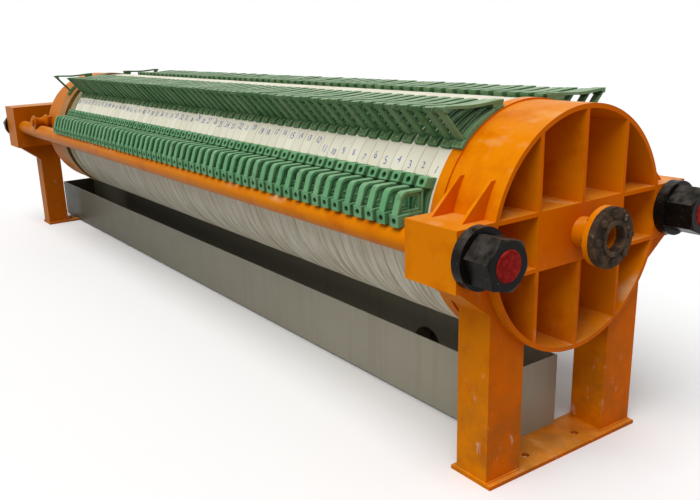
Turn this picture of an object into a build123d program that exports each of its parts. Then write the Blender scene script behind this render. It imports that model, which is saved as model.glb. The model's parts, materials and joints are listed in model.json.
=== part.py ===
from build123d import *

import os
from math import asin, cos, degrees, radians, sin, sqrt, tan

# Round-plate filter press: fixed feed head, two tie rods, a pack of round filter plates with cast
# handles, a follower that slides on the rods, a tail crosshead with the closing ram, and a drip trough.
# Millimetres. +X runs along the machine to the feed head, -Y is the operator's side and +Z is up.
# The origin is on the floor under the middle of the overall length.

os.makedirs("parts", exist_ok=True)

# Fits
fit_clearance = 0.3
bore_clearance = 0.5

# Plate pack
plate_count = 58
plate_diameter = 830
plate_thickness = 64.2
cloth_gap = 0.8
plate_feed_bore = 80

# Feed head: back disc, drum rim, rib grid and front panel
head_margin = 5
head_disc_thickness = 45
head_rim_depth = 233
rim_step = 6
rim_wall = 16
rib_thickness = 14
rib_spacing = 207
panel_thickness = 12

# Lugs that carry the rods, with their gussets
lug_reach = 76
lug_setback = 3
lug_height = 196
gusset_thickness = 12
gusset_reach = 80
gusset_top_width = 40
gusset_rise = 115
gusset_setback = 47
gusset_spacing = 132

# Tie rods, collars and nuts
rod_gap = 64
rod_rise = 7
rod_diameter = 100
collar_diameter = 196
collar_thickness = 36
nut_across_flats = 150
nut_height = 96
nut_chamfer = 12
nut_chamfer_length = 6
near_nut_turn = 48
far_nut_turn = 36
rod_end_proud = 4
rod_end_chamfer = 4

# Legs and base plates
base_thickness = 14
base_length = 185
base_margin = 5
base_setback = 8
leg_depth = 140
leg_width = 160
leg_inset = 103
haunch_reach = 155
haunch_drop = 118
anchor_hole_diameter = 28
anchor_setback = 72
head_anchor_spacing = 266
tail_anchor_margin = 43

# Feed inlet
feed_pipe_diameter = 102
feed_bore = 80
feed_stub_reach = 98
flange_diameter = 200
flange_thickness = 20
flange_bolt_circle = 160
flange_bolt_count = 8
flange_bolt_hole = 18
counter_flange_thickness = 22
counter_hub_diameter = 116
counter_hub_length = 10
supply_pipe_bore = 89.4

# Follower: grooved pressure disc, drum, rib grid, rod rollers
follower_clearance = 5
pressure_disc_thickness = 285
pressure_groove_offset = 95
pressure_groove_width = 70
pressure_groove_depth = 26
follower_drum_depth = 283
follower_drum_wall = 16
follower_stroke = 380
roller_waist_diameter = 56
roller_flange_thickness = 12
roller_wrap_offset = 40
roller_setback = 60
roller_side_gap = 4
axle_diameter = 26
axle_cap = 10
bracket_length = 70
bracket_rise = 34
bracket_drop = 24

# Tail crosshead and closing ram
tail_clearance = 32
crosshead_depth = 250
crosshead_height = 322
crosshead_wall = 25
crosshead_end_thickness = 20
ram_diameter = 100
cylinder_diameter = 200
cylinder_rear_length = 330
cylinder_cap_thickness = 30
gland_diameter = 250
gland_thickness = 22

# Upper handles: angles round the plate from level, sizes across the strap
upper_handle_width = 48
upper_bar = 10
upper_foot_angle = 41.7
upper_root_angle = 45.3
upper_window_angle = 46.8
upper_tip_angle = 72.3
upper_tip_length = 34
upper_grip_rise = 6
upper_leg_lean = 82
upper_corner_radius = 9

# Side handles: levels above the machine axis, offsets from the plate and from the rod
side_handle_width = 40
side_loop_width = 28
side_bar = 12
side_strap_low = 58
side_strap_high = 191
side_strap_reach = 15
side_pad_level = 198
side_pad_inset = 20
side_bar_level = 163
side_bend_overhang = 27
side_bend_radius = 22
side_window_radius = 9
side_shoe_overhang = 54
side_shoe_width = 50
side_shoe_height = 41
side_shoe_hook = 8
side_hole_diameter = 21
side_hole_depth = 16

# Drip trough
trough_width = 270
trough_height = 283
trough_wall = 4
trough_gap = 118
trough_overlap = 16
trough_tail_reach = 130
drain_diameter = 170
drain_wall = 5
drain_reach = 90
drain_rise = 4
drain_distance = 718

# Radii and levels that pieces share
plate_radius = plate_diameter / 2
head_radius = plate_radius + head_margin
rim_radius = head_radius - rim_step
rim_inner_radius = rim_radius - rim_wall
drum_inner_radius = rim_radius - follower_drum_wall
axis_height = base_thickness + trough_height + trough_gap + plate_radius
rod_offset = head_radius + rod_gap
rod_level = axis_height + rod_rise
rod_radius = rod_diameter / 2
lug_outer = rod_offset + lug_reach
lug_top = axis_height + lug_height / 2
lug_bottom = axis_height - lug_height / 2
crosshead_top = rod_level + crosshead_height / 2
crosshead_bottom = rod_level - crosshead_height / 2
leg_outer_offset = rod_offset - leg_inset
leg_inner_offset = leg_outer_offset - leg_width
base_width = 2 * (leg_outer_offset + base_margin)

# Stations along the machine
front_overhang = collar_thickness + nut_height + rod_end_proud
rear_overhang = max(cylinder_rear_length, front_overhang)
head_depth = head_disc_thickness + head_rim_depth
plate_pitch = plate_thickness + cloth_gap
pack_length = plate_count * plate_pitch
follower_length = pressure_disc_thickness + follower_drum_depth
follower_travel = follower_stroke + tail_clearance
bed_length = head_depth + pack_length + follower_clearance + follower_length + follower_travel
overall_length = front_overhang + bed_length + crosshead_depth + rear_overhang

head_front_x = overall_length / 2 - front_overhang
head_disc_x = head_front_x - head_rim_depth
head_back_x = head_front_x - head_depth
pack_end_x = head_back_x - pack_length
follower_front_x = pack_end_x - follower_clearance
drum_front_x = follower_front_x - pressure_disc_thickness
follower_rear_x = follower_front_x - follower_length
crosshead_front_x = head_front_x - bed_length
crosshead_rear_x = crosshead_front_x - crosshead_depth
crosshead_middle_x = crosshead_front_x - crosshead_depth / 2
rod_front_x = head_front_x + front_overhang
rod_rear_x = crosshead_rear_x - front_overhang
head_base_x = head_front_x - base_setback - base_length / 2
head_anchor_x = head_front_x - base_setback - anchor_setback
tail_base_x = crosshead_middle_x
plate_centres = [head_back_x - (i + 1) * plate_pitch + plate_thickness / 2 for i in range(plate_count)]

sides = (("near", -1, near_nut_turn), ("far", 1, far_nut_turn))


def section(x):
    """Plane across the machine at station x: local x is +Y, local y is +Z, normal is +X."""
    return Plane.YZ.offset(x)


def outward(points, sign):
    """Points given as (distance from the centre plane, height) on the side that sign names."""
    return [(sign * offset, height) for offset, height in points]


def polar(radius, angle):
    """(offset, height) of a point round the machine axis, at an angle up from level."""
    return (radius * cos(radians(angle)), axis_height + radius * sin(radians(angle)))


def rounded_run(points, sign):
    """Draw a run through (offset, height, corner radius) points, rounded where there is a radius."""
    start = Vector(points[0][0], points[0][1])
    for before, corner, after in zip(points, points[1:], points[2:]):
        here = Vector(corner[0], corner[1])
        back = (Vector(before[0], before[1]) - here).normalized()
        onward = (Vector(after[0], after[1]) - here).normalized()
        radius = corner[2]
        entry = here
        leaving = here
        if radius:
            half_angle = radians(back.get_angle(onward) / 2)
            middle = here + (back + onward).normalized() * (radius / sin(half_angle) - radius)
            entry = here + back * (radius / tan(half_angle))
            leaving = here + onward * (radius / tan(half_angle))
        Line(*outward([(start.X, start.Y), (entry.X, entry.Y)], sign))
        if radius:
            bend_points = [(entry.X, entry.Y), (middle.X, middle.Y), (leaving.X, leaving.Y)]
            ThreePointArc(*outward(bend_points, sign))
        start = leaving
    Line(*outward([(start.X, start.Y), (points[-1][0], points[-1][1])], sign))


def save(builder, name):
    """Label the finished piece and write it."""
    builder.part.label = name
    export_step(builder.part, f"parts/{name}.step")


# Feed head

with BuildPart() as head_disc:
    with BuildSketch(section(head_back_x)):
        with Locations((0, axis_height)):
            Circle(head_radius)
            Circle(feed_bore / 2, mode=Mode.SUBTRACT)
    extrude(amount=head_disc_thickness)
save(head_disc, "head_disc")

with BuildPart() as head_rim:
    with BuildSketch(section(head_disc_x)):
        with Locations((0, axis_height)):
            Circle(rim_radius)
            Circle(rim_inner_radius, mode=Mode.SUBTRACT)
    extrude(amount=head_rim_depth)
save(head_rim, "head_rim")

panel_width = 2 * rib_spacing - rib_thickness
panel_height = lug_height - 2 * rib_thickness
level_ribs = ((0, lug_top - rib_thickness / 2), (0, lug_bottom + rib_thickness / 2))

with BuildPart() as head_ribs:
    with BuildSketch(section(head_disc_x)):
        with Locations((-rib_spacing, axis_height), (0, axis_height), (rib_spacing, axis_height)):
            Rectangle(rib_thickness, 2 * rim_radius)
        with Locations(*level_ribs):
            Rectangle(2 * rim_radius, rib_thickness)
        with Locations((0, axis_height)):
            Circle(rim_inner_radius - fit_clearance, mode=Mode.INTERSECT)
            Circle(feed_pipe_diameter / 2 + bore_clearance, mode=Mode.SUBTRACT)
    extrude(amount=head_rim_depth)
    with BuildSketch(section(head_front_x)):
        with Locations((0, axis_height)):
            Rectangle(panel_width, panel_height)
    extrude(amount=-panel_thickness, mode=Mode.SUBTRACT)
save(head_ribs, "head_ribs")

with BuildPart() as head_front_panel:
    with BuildSketch(section(head_front_x)):
        with Locations((0, axis_height)):
            Rectangle(panel_width, panel_height)
            Circle(feed_pipe_diameter / 2 + bore_clearance, mode=Mode.SUBTRACT)
    extrude(amount=-panel_thickness)
save(head_front_panel, "head_front_panel")

for side, sign, nut_turn in sides:
    with BuildPart() as lug:
        with BuildSketch(section(head_front_x)):
            with Locations((sign * lug_outer / 2, axis_height)):
                Rectangle(lug_outer, lug_height)
            with Locations((0, axis_height)):
                Circle(rim_radius + fit_clearance, mode=Mode.SUBTRACT)
            with Locations((sign * rod_offset, rod_level)):
                Circle(rod_radius + bore_clearance, mode=Mode.SUBTRACT)
        extrude(amount=-(head_rim_depth - lug_setback))
    save(lug, f"head_lug_{side}")

gusset_inner = rim_radius - gusset_reach
with BuildPart() as head_gussets:
    for side, sign, nut_turn in sides:
        for row in range(2):
            with BuildSketch(section(head_front_x - gusset_setback - row * gusset_spacing)):
                with BuildLine():
                    Polyline(
                        *outward(
                            [
                                (gusset_inner, lug_top),
                                (rim_radius + gusset_reach, lug_top),
                                (gusset_inner + gusset_top_width, lug_top + gusset_rise),
                                (gusset_inner, lug_top + gusset_rise),
                            ],
                            sign,
                        ),
                        close=True,
                    )
                make_face()
                with Locations((0, axis_height)):
                    Circle(rim_radius + fit_clearance, mode=Mode.SUBTRACT)
            extrude(amount=-gusset_thickness)
save(head_gussets, "head_gussets")

# Legs and base plates, under the head and under the crosshead

tail_anchor_spacing = trough_width + 2 * tail_anchor_margin
base_stations = (
    ("head", head_base_x, lug_bottom, head_anchor_x, head_anchor_spacing),
    ("tail", tail_base_x, crosshead_bottom, tail_base_x, tail_anchor_spacing),
)

for end, station, top, anchor_x, anchor_spacing in base_stations:
    with BuildPart() as base_plate:
        with BuildSketch(Plane.XY):
            with Locations((station, 0)):
                Rectangle(base_length, base_width)
            with Locations((anchor_x, -anchor_spacing / 2), (anchor_x, anchor_spacing / 2)):
                Circle(anchor_hole_diameter / 2, mode=Mode.SUBTRACT)
        extrude(amount=base_thickness)
    save(base_plate, f"{end}_base_plate")

    for side, sign, nut_turn in sides:
        with BuildPart() as leg:
            with BuildSketch(section(station)):
                with BuildLine():
                    Polyline(
                        *outward(
                            [
                                (leg_inner_offset, base_thickness),
                                (leg_outer_offset, base_thickness),
                                (leg_outer_offset, top - haunch_drop),
                                (leg_outer_offset + haunch_reach, top),
                                (leg_inner_offset, top),
                            ],
                            sign,
                        ),
                        close=True,
                    )
                make_face()
                if end == "head":
                    with Locations((0, axis_height)):
                        Circle(rim_radius + fit_clearance, mode=Mode.SUBTRACT)
            extrude(amount=leg_depth / 2, both=True)
        save(leg, f"{end}_leg_{side}")

# Feed inlet: pipe with its flange through the front panel, and the counter flange bolted to it

flange_face_x = head_front_x + feed_stub_reach

with BuildPart() as feed_pipe:
    with BuildSketch(section(head_disc_x)):
        with Locations((0, axis_height)):
            Circle(feed_pipe_diameter / 2)
            Circle(feed_bore / 2, mode=Mode.SUBTRACT)
    extrude(amount=head_rim_depth + feed_stub_reach)
    with BuildSketch(section(flange_face_x)):
        with Locations((0, axis_height)):
            Circle(flange_diameter / 2)
            Circle(feed_bore / 2, mode=Mode.SUBTRACT)
            with PolarLocations(flange_bolt_circle / 2, flange_bolt_count):
                Circle(flange_bolt_hole / 2, mode=Mode.SUBTRACT)
    extrude(amount=-flange_thickness)
save(feed_pipe, "feed_pipe")

with BuildPart() as counter_flange:
    with BuildSketch(section(flange_face_x)):
        with Locations((0, axis_height)):
            Circle(flange_diameter / 2)
            with PolarLocations(flange_bolt_circle / 2, flange_bolt_count):
                Circle(flange_bolt_hole / 2, mode=Mode.SUBTRACT)
    extrude(amount=counter_flange_thickness)
    with BuildSketch(section(flange_face_x + counter_flange_thickness)):
        with Locations((0, axis_height)):
            Circle(counter_hub_diameter / 2)
    extrude(amount=counter_hub_length)
    with BuildSketch(section(flange_face_x)):
        with Locations((0, axis_height)):
            Circle(supply_pipe_bore / 2)
    extrude(amount=counter_flange_thickness + counter_hub_length, mode=Mode.SUBTRACT)
save(counter_flange, "feed_counter_flange")

# Tie rods with a collar and a nut at each end

nut_corner_radius = nut_across_flats / 2 / cos(radians(30))

for side, sign, nut_turn in sides:
    rod_y = sign * rod_offset
    with BuildPart() as tie_rod:
        with BuildSketch(section(rod_rear_x)):
            with Locations((rod_y, rod_level)):
                Circle(rod_radius)
        extrude(amount=rod_front_x - rod_rear_x)
        chamfer(tie_rod.edges().filter_by(GeomType.CIRCLE), rod_end_chamfer)
    save(tie_rod, f"tie_rod_{side}")

    for end, seat_x, direction in (("head", head_front_x, 1), ("tail", crosshead_rear_x, -1)):
        with BuildPart() as collar:
            with BuildSketch(section(seat_x)):
                with Locations((rod_y, rod_level)):
                    Circle(collar_diameter / 2)
                    Circle(rod_radius + fit_clearance, mode=Mode.SUBTRACT)
            extrude(amount=direction * collar_thickness)
        save(collar, f"{end}_collar_{side}")

        nut_seat_x = seat_x + direction * collar_thickness
        nut_end_x = nut_seat_x + direction * nut_height
        with BuildPart() as nut:
            with BuildSketch(section(nut_seat_x)):
                with Locations((rod_y, rod_level)):
                    RegularPolygon(nut_across_flats / 2, 6, major_radius=False, rotation=nut_turn)
            extrude(amount=direction * nut_height)
            with BuildSketch(Plane.XY.offset(rod_level)):
                with BuildLine():
                    Polyline(
                        (nut_seat_x, rod_y),
                        (nut_seat_x, rod_y + nut_corner_radius),
                        (nut_end_x - direction * nut_chamfer_length, rod_y + nut_corner_radius),
                        (nut_end_x, rod_y + nut_corner_radius - nut_chamfer),
                        (nut_end_x, rod_y),
                        close=True,
                    )
                make_face()
            revolve(axis=Axis((0, rod_y, rod_level), (1, 0, 0)), mode=Mode.INTERSECT)
            with BuildSketch(section(nut_seat_x)):
                with Locations((rod_y, rod_level)):
                    Circle(rod_radius + fit_clearance)
            extrude(amount=direction * nut_height, mode=Mode.SUBTRACT)
        save(nut, f"{end}_nut_{side}")

# Filter plates

with BuildPart() as one_plate:
    with BuildSketch(section(-plate_thickness / 2)):
        with Locations((0, axis_height)):
            Circle(plate_radius)
            Circle(plate_feed_bore / 2, mode=Mode.SUBTRACT)
    extrude(amount=plate_thickness)

with BuildPart() as filter_plates:
    with Locations(*[(x, 0, 0) for x in plate_centres]):
        add(one_plate.part)
save(filter_plates, "filter_plates")


def upper_handle(sign, seat):
    """Carrying loop: strap round the rim of radius seat, level grip on top and a leaning outer leg."""
    strap_top = seat + upper_bar
    grip_top = axis_height + seat + upper_grip_rise
    grip_bottom = grip_top - upper_bar
    foot = polar(seat, upper_foot_angle)
    tip = polar(seat, upper_tip_angle)
    root = polar(strap_top, upper_root_angle)
    corner = (foot[0] + upper_leg_lean, grip_top)
    lean = (corner[0] - root[0]) / (corner[1] - root[1])
    window_root = polar(strap_top, upper_window_angle)
    window_tip_angle = degrees(asin(sqrt(1 - ((tip[0] + upper_tip_length) / strap_top) ** 2)))
    window_tip = polar(strap_top, window_tip_angle)
    window_corner = (window_root[0] + lean * (grip_bottom - window_root[1]), grip_bottom)
    with BuildPart() as handle:
        with BuildSketch(section(-upper_handle_width / 2)):
            with BuildLine():
                strap_middle = polar(seat, (upper_foot_angle + upper_tip_angle) / 2)
                ThreePointArc(*outward([foot, strap_middle, tip], sign))
                rounded_run(
                    [
                        (*tip, 0),
                        (tip[0], grip_top, 0),
                        (*corner, upper_corner_radius),
                        (*root, 0),
                        (*polar(strap_top, upper_foot_angle), 0),
                        (*foot, 0),
                    ],
                    sign,
                )
            make_face()
            with BuildLine():
                window_middle = polar(strap_top, (upper_window_angle + window_tip_angle) / 2)
                ThreePointArc(*outward([window_root, window_middle, window_tip], sign))
                window_edge = [window_tip, (window_tip[0], grip_bottom), window_corner, window_root]
                Polyline(*outward(window_edge, sign))
            make_face(mode=Mode.SUBTRACT)
        extrude(amount=upper_handle_width)
    return handle.part


def side_handle(sign, seat):
    """Cast bracket: strap with a pad on the rim, a loop beside it and the shoe that hooks on the rod."""
    strap_bottom = polar(seat, degrees(asin(side_strap_low / seat)))
    strap_top = polar(seat, degrees(asin(side_strap_high / seat)))
    strap_outer = seat + side_strap_reach
    pad_outer = strap_outer - side_pad_inset
    bar_top = axis_height + side_bar_level
    bend = rod_offset + side_bend_overhang
    shoe_outer = rod_offset + side_shoe_overhang
    shoe_inner = shoe_outer - side_shoe_width
    shoe_bottom = rod_level + rod_radius - side_shoe_hook
    shoe_top = shoe_bottom + side_shoe_height
    lean = Vector(shoe_outer - bend, shoe_top - bar_top).normalized()
    window_top = bar_top - side_bar
    bar_span = side_bar / -lean.Y
    window_bend = bend + (shoe_outer - bend) * (side_bar / (bar_top - shoe_top)) - bar_span
    window_shoe = shoe_outer - bar_span
    shoe_block = [
        (shoe_outer, shoe_bottom),
        (shoe_outer, shoe_top),
        (shoe_inner, shoe_top),
        (shoe_inner, shoe_bottom),
    ]
    pad_low = polar(seat, degrees(asin((side_bar_level - side_bar) / seat)))
    pad_block = [strap_top, (pad_outer, axis_height + side_pad_level), (strap_outer, bar_top), pad_low]
    pad_face = Vector(pad_outer - strap_outer, axis_height + side_pad_level - bar_top)
    pad_middle = Vector(strap_outer, bar_top) + pad_face * 0.5
    hole_planes = (
        Plane((0, sign * pad_middle.X, pad_middle.Y), (1, 0, 0), (0, sign * pad_face.Y, -pad_face.X)),
        Plane((0, sign * shoe_outer, (shoe_bottom + shoe_top) / 2), (1, 0, 0), (0, sign, 0)),
    )
    with BuildPart() as handle:
        with BuildSketch(section(-side_loop_width / 2)):
            with BuildLine():
                strap_middle = polar(seat, degrees(asin((side_strap_low + side_strap_high) / 2 / seat)))
                ThreePointArc(*outward([strap_bottom, strap_middle, strap_top], sign))
                rounded_run(
                    [
                        (*strap_top, 0),
                        (pad_outer, axis_height + side_pad_level, 0),
                        (strap_outer, bar_top, 0),
                        (bend, bar_top, side_bend_radius),
                        (shoe_outer, shoe_top, 0),
                        (shoe_outer, shoe_bottom, 0),
                        (shoe_inner, shoe_bottom, 0),
                        (shoe_inner, shoe_top - side_bar, 0),
                        (strap_outer, shoe_top - side_bar, 0),
                        (*strap_bottom, 0),
                    ],
                    sign,
                )
            make_face()
            with BuildLine():
                rounded_run(
                    [
                        (strap_outer, shoe_top, 0),
                        (strap_outer, window_top, 0),
                        (window_bend, window_top, side_window_radius),
                        (window_shoe, shoe_top, 0),
                        (strap_outer, shoe_top, 0),
                    ],
                    sign,
                )
            make_face(mode=Mode.SUBTRACT)
        extrude(amount=side_loop_width)
        with BuildSketch(section(-side_handle_width / 2)):
            for block in (pad_block, shoe_block):
                with BuildLine():
                    Polyline(*outward(block, sign), close=True)
                make_face()
        extrude(amount=side_handle_width)
        for plane in hole_planes:
            with BuildSketch(plane):
                Circle(side_hole_diameter / 2)
            extrude(amount=-side_hole_depth, mode=Mode.SUBTRACT)
        with BuildSketch(section(-side_handle_width / 2)):
            with Locations((0, axis_height)):
                Circle(seat)
            with Locations((sign * rod_offset, rod_level)):
                Circle(rod_radius + fit_clearance)
        extrude(amount=side_handle_width, mode=Mode.SUBTRACT)
    return handle.part


plate_seat = plate_radius + fit_clearance
disc_seat = head_radius + fit_clearance

for side, sign, nut_turn in sides:
    castings = (("upper", upper_handle(sign, plate_seat)), ("side", side_handle(sign, plate_seat)))
    for kind, casting in castings:
        with BuildPart() as handle_row:
            with Locations(*[(x, 0, 0) for x in plate_centres]):
                add(casting)
        save(handle_row, f"{kind}_handles_{side}")

disc_handle_x = head_back_x + head_disc_thickness / 2
follower_handle_x = drum_front_x + upper_handle_width / 2

for name, station in (("head_handles", disc_handle_x), ("follower_handles", follower_handle_x)):
    with BuildPart() as disc_handles:
        for side, sign, nut_turn in sides:
            with Locations((station, 0, 0)):
                add(upper_handle(sign, disc_seat))
    save(disc_handles, name)

# Follower: grooved pressure disc, drum open to the tail, rib grid

groove_front_x = follower_front_x - pressure_groove_offset
groove_rear_x = groove_front_x - pressure_groove_width
groove_radius = plate_radius - pressure_groove_depth

with BuildPart() as pressure_disc:
    with BuildSketch(Plane.XY.offset(axis_height)):
        with BuildLine():
            Polyline(
                (follower_front_x, 0),
                (follower_front_x, plate_radius),
                (groove_front_x, plate_radius),
                (groove_front_x - pressure_groove_depth, groove_radius),
                (groove_rear_x, groove_radius),
                (groove_rear_x, head_radius),
                (drum_front_x, head_radius),
                (drum_front_x, 0),
                close=True,
            )
        make_face()
    revolve(axis=Axis((0, 0, axis_height), (1, 0, 0)))
save(pressure_disc, "follower_pressure_disc")

with BuildPart() as follower_drum:
    with BuildSketch(section(drum_front_x)):
        with Locations((0, axis_height)):
            Circle(rim_radius)
            Circle(drum_inner_radius, mode=Mode.SUBTRACT)
    extrude(amount=-follower_drum_depth)
save(follower_drum, "follower_drum")

with BuildPart() as follower_ribs:
    with BuildSketch(section(drum_front_x)):
        with Locations((-rib_spacing, axis_height), (rib_spacing, axis_height)):
            Rectangle(rib_thickness, 2 * rim_radius)
        with Locations(*level_ribs):
            Rectangle(2 * rim_radius, rib_thickness)
        with Locations((0, axis_height)):
            Circle(drum_inner_radius - fit_clearance, mode=Mode.INTERSECT)
    extrude(amount=-follower_drum_depth)
save(follower_ribs, "follower_ribs")

# Rollers that carry the follower on the rods, on stub axles in brackets welded to the drum

roller_x = follower_rear_x + roller_setback
roller_groove_radius = rod_radius + fit_clearance
axle_height = rod_level + roller_groove_radius + roller_waist_diameter / 2
roller_edge_height = rod_level + sqrt(roller_groove_radius**2 - roller_wrap_offset**2)
roller_half_width = roller_wrap_offset + roller_flange_thickness
bracket_face = rod_offset - roller_half_width - roller_side_gap
drum_at_axle = sqrt(rim_radius**2 - (axle_height - axis_height) ** 2)
axle_inner = (bracket_face + drum_at_axle) / 2
axle_outer = rod_offset + roller_half_width + roller_side_gap + axle_cap
bracket_top = axle_height + bracket_rise
bracket_bottom = axle_height - bracket_drop

for side, sign, nut_turn in sides:
    rod_y = sign * rod_offset
    with BuildPart() as roller:
        with BuildSketch(section(roller_x)):
            with BuildLine():
                Polyline(
                    (rod_y + roller_wrap_offset, roller_edge_height),
                    (rod_y + roller_half_width, roller_edge_height),
                    (rod_y + roller_half_width, axle_height),
                    (rod_y - roller_half_width, axle_height),
                    (rod_y - roller_half_width, roller_edge_height),
                    (rod_y - roller_wrap_offset, roller_edge_height),
                )
                ThreePointArc(
                    (rod_y - roller_wrap_offset, roller_edge_height),
                    (rod_y, rod_level + roller_groove_radius),
                    (rod_y + roller_wrap_offset, roller_edge_height),
                )
            make_face()
        revolve(axis=Axis((roller_x, rod_y, axle_height), (0, 1, 0)))
        with BuildSketch(Plane.XZ.offset(-rod_y)):
            with Locations((roller_x, axle_height)):
                Circle(axle_diameter / 2 + fit_clearance)
        extrude(amount=roller_half_width, both=True, mode=Mode.SUBTRACT)
    save(roller, f"follower_roller_{side}")

    with BuildPart() as axle_pin:
        with BuildSketch(Plane.XZ.offset(-sign * axle_inner)):
            with Locations((roller_x, axle_height)):
                Circle(axle_diameter / 2)
        extrude(amount=-sign * (axle_outer - axle_inner))
        with BuildSketch(Plane.XZ.offset(-sign * (axle_outer - axle_cap))):
            with Locations((roller_x, axle_height)):
                Circle(axle_diameter)
        extrude(amount=-sign * axle_cap)
    save(axle_pin, f"follower_axle_{side}")

    with BuildPart() as bracket:
        with BuildSketch(section(roller_x)):
            with BuildLine():
                Polyline(
                    *outward(
                        [
                            (gusset_inner, bracket_top),
                            (bracket_face, bracket_top),
                            (bracket_face, bracket_bottom),
                            (gusset_inner, bracket_bottom),
                        ],
                        sign,
                    ),
                    close=True,
                )
            make_face()
            with Locations((0, axis_height)):
                Circle(rim_radius + fit_clearance, mode=Mode.SUBTRACT)
        extrude(amount=bracket_length / 2, both=True)
        with BuildSketch(Plane.XZ.offset(-sign * (axle_inner - fit_clearance))):
            with Locations((roller_x, axle_height)):
                Circle(axle_diameter / 2 + fit_clearance)
        extrude(amount=-sign * (axle_outer - axle_inner), mode=Mode.SUBTRACT)
    save(bracket, f"follower_bracket_{side}")

# Tail crosshead: closed box beam with the rods and the ram cylinder through its webs

cylinder_rear_x = crosshead_rear_x - cylinder_rear_length
web_stations = (("front", crosshead_front_x), ("rear", crosshead_rear_x + crosshead_wall))

for face, web_x in web_stations:
    with BuildPart() as web:
        with BuildSketch(section(web_x)):
            with Locations((0, rod_level)):
                Rectangle(2 * lug_outer, crosshead_height)
            with Locations((0, axis_height)):
                Circle(cylinder_diameter / 2 + fit_clearance, mode=Mode.SUBTRACT)
            with Locations((-rod_offset, rod_level), (rod_offset, rod_level)):
                Circle(rod_radius + bore_clearance, mode=Mode.SUBTRACT)
        extrude(amount=-crosshead_wall)
    save(web, f"crosshead_{face}_web")

web_gap = crosshead_depth - 2 * crosshead_wall
plate_levels = (("top", crosshead_top - crosshead_wall), ("bottom", crosshead_bottom))

for face, level in plate_levels:
    with BuildPart() as flange_plate:
        with BuildSketch(Plane.XY.offset(level)):
            with Locations((crosshead_middle_x, 0)):
                Rectangle(web_gap, 2 * lug_outer)
        extrude(amount=crosshead_wall)
    save(flange_plate, f"crosshead_{face}_plate")

end_offset = lug_outer - crosshead_end_thickness / 2
with BuildPart() as crosshead_ends:
    with BuildSketch(Plane.XY.offset(crosshead_bottom + crosshead_wall)):
        with Locations((crosshead_middle_x, -end_offset), (crosshead_middle_x, end_offset)):
            Rectangle(web_gap, crosshead_end_thickness)
    extrude(amount=crosshead_height - 2 * crosshead_wall)
save(crosshead_ends, "crosshead_ends")

gland_face_x = crosshead_front_x + gland_thickness
bore_end_x = cylinder_rear_x + cylinder_cap_thickness
with BuildPart() as ram_cylinder:
    with BuildSketch(section(crosshead_front_x)):
        with Locations((0, axis_height)):
            Circle(gland_diameter / 2)
    extrude(amount=gland_thickness)
    with BuildSketch(section(crosshead_front_x)):
        with Locations((0, axis_height)):
            Circle(cylinder_diameter / 2)
    extrude(amount=cylinder_rear_x - crosshead_front_x)
    with BuildSketch(section(gland_face_x)):
        with Locations((0, axis_height)):
            Circle(ram_diameter / 2 + bore_clearance)
    extrude(amount=bore_end_x - gland_face_x, mode=Mode.SUBTRACT)
save(ram_cylinder, "ram_cylinder")

ram_rear_x = bore_end_x + follower_travel
with BuildPart() as ram:
    with BuildSketch(section(ram_rear_x)):
        with Locations((0, axis_height)):
            Circle(ram_diameter / 2)
    extrude(amount=drum_front_x - ram_rear_x)
save(ram, "closing_ram")

# Drip trough on the two base plates, with its drain through the far side

trough_head_x = head_base_x - base_length / 2 + trough_overlap
trough_tail_x = tail_base_x - base_length / 2 - trough_tail_reach
trough_length = trough_head_x - trough_tail_x
trough_middle_x = (trough_head_x + trough_tail_x) / 2
trough_floor_top = base_thickness + trough_wall
wall_height = trough_height - trough_wall
wall_middle = trough_floor_top + wall_height / 2
drain_x = trough_head_x - drain_distance
drain_height = trough_floor_top + drain_rise + drain_diameter / 2

with BuildPart() as trough_floor:
    with BuildSketch(Plane.XY.offset(base_thickness)):
        with Locations((trough_middle_x, 0)):
            Rectangle(trough_length, trough_width)
    extrude(amount=trough_wall)
save(trough_floor, "trough_floor")

for side, sign, nut_turn in sides:
    with BuildPart() as trough_side:
        with BuildSketch(Plane.XZ.offset(-sign * trough_width / 2)):
            with Locations((trough_middle_x, wall_middle)):
                Rectangle(trough_length, wall_height)
            if side == "far":
                with Locations((drain_x, drain_height)):
                    Circle(drain_diameter / 2, mode=Mode.SUBTRACT)
        extrude(amount=sign * trough_wall)
    save(trough_side, f"trough_{side}_side")

for end, end_x, direction in (("head", trough_head_x, -1), ("tail", trough_tail_x, 1)):
    with BuildPart() as trough_end:
        with BuildSketch(section(end_x)):
            with Locations((0, wall_middle)):
                Rectangle(trough_width - 2 * trough_wall, wall_height)
        extrude(amount=direction * trough_wall)
    save(trough_end, f"trough_{end}_end")

with BuildPart() as trough_drain:
    with BuildSketch(Plane.XZ.offset(-trough_width / 2)):
        with Locations((drain_x, drain_height)):
            Circle(drain_diameter / 2 + drain_wall)
            Circle(drain_diameter / 2, mode=Mode.SUBTRACT)
    extrude(amount=-drain_reach)
save(trough_drain, "trough_drain")
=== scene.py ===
"""Looks of the round-plate filter press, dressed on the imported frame. Metres, row frame."""
import json
import math
import random

import bmesh
import bpy
from mathutils import Matrix, Vector


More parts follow.
